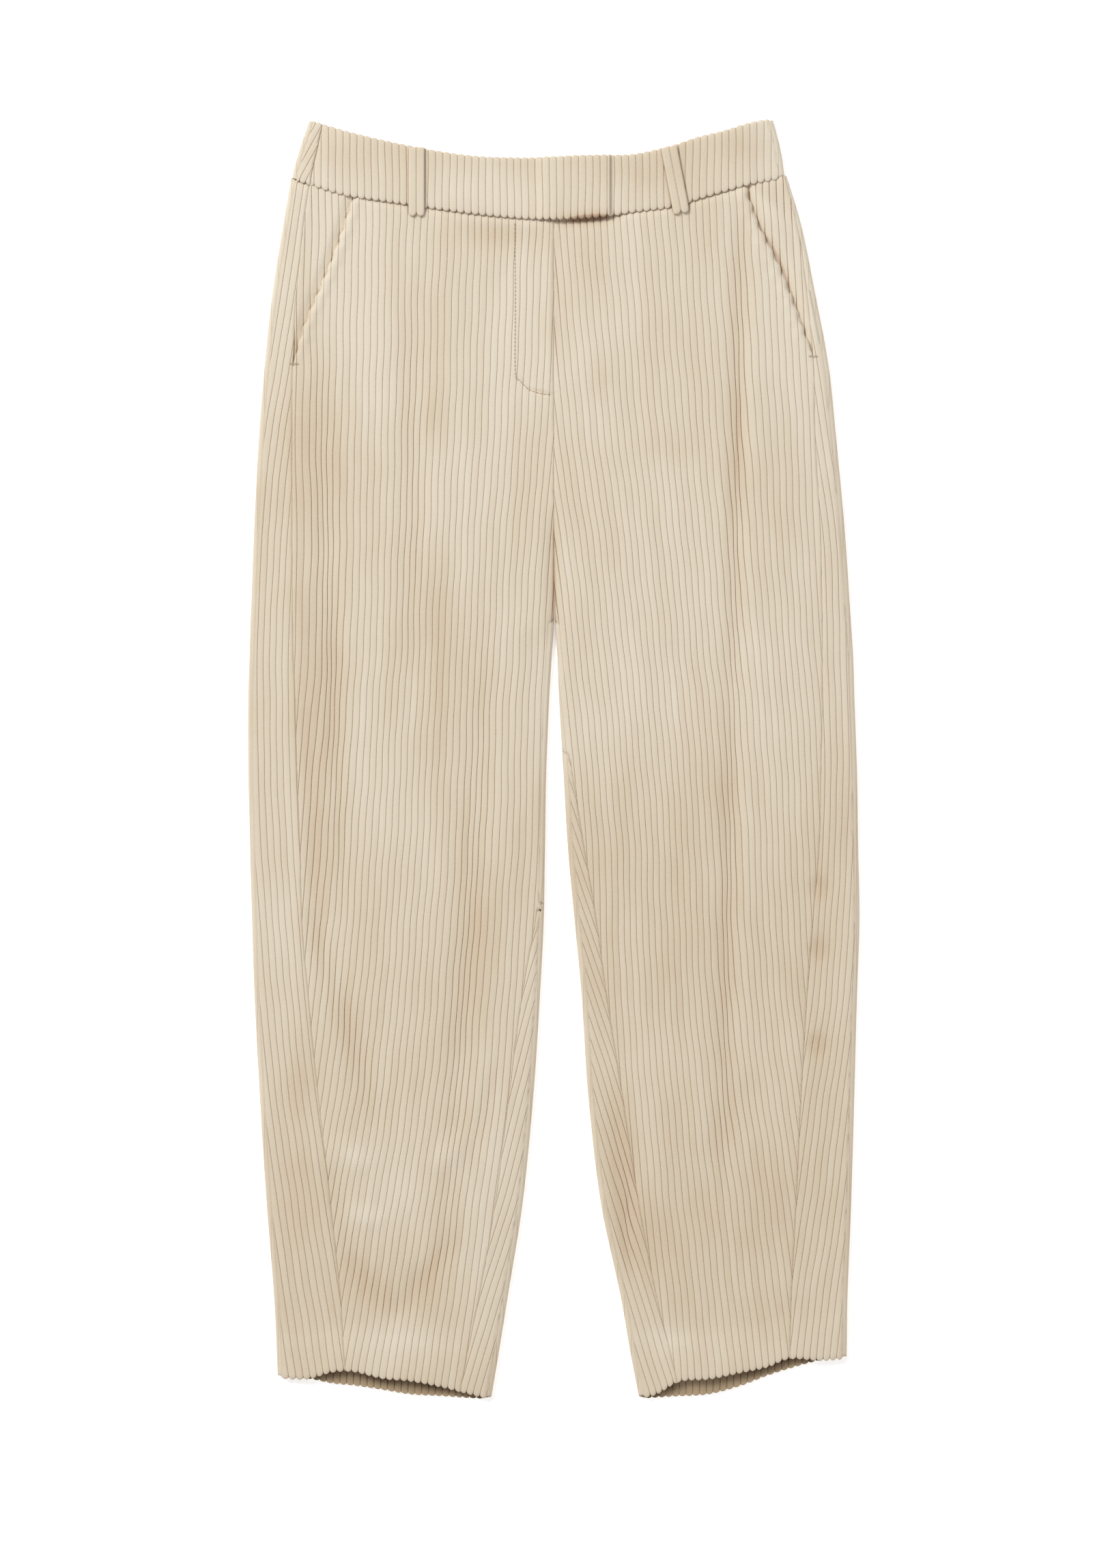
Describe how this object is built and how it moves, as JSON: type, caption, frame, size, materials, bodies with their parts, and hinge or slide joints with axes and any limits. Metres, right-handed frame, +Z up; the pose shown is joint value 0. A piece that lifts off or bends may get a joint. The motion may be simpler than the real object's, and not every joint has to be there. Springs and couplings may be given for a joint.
{
  "type": "corduroy trousers",
  "caption": "Cream wide-wale corduroy trousers with curved cropped legs, slanted front pockets and a tab waistband, laid flat front up.",
  "frame": {"origin": "middle of the garment's outline, on the surface it lies on", "axes": "+Y from the hems towards the waist, +X towards the wearer's left, +Z up from the surface"},
  "size_m": [0.4836, 1.0106, 0.012],
  "materials": {
    "corduroy": "matte pile cord"
  },
  "bodies": {
    "root": {"front_right": "corduroy", "front_left": "corduroy", "back_right": "corduroy", "back_left": "corduroy", "pocket_facing_right": "corduroy", "pocket_facing_left": "corduroy", "waistband_front_right": "corduroy", "waistband_front_left": "corduroy", "waistband_back": "corduroy", "belt_loop_right": "corduroy", "belt_loop_left": "corduroy"}
  },
  "joints": []
}
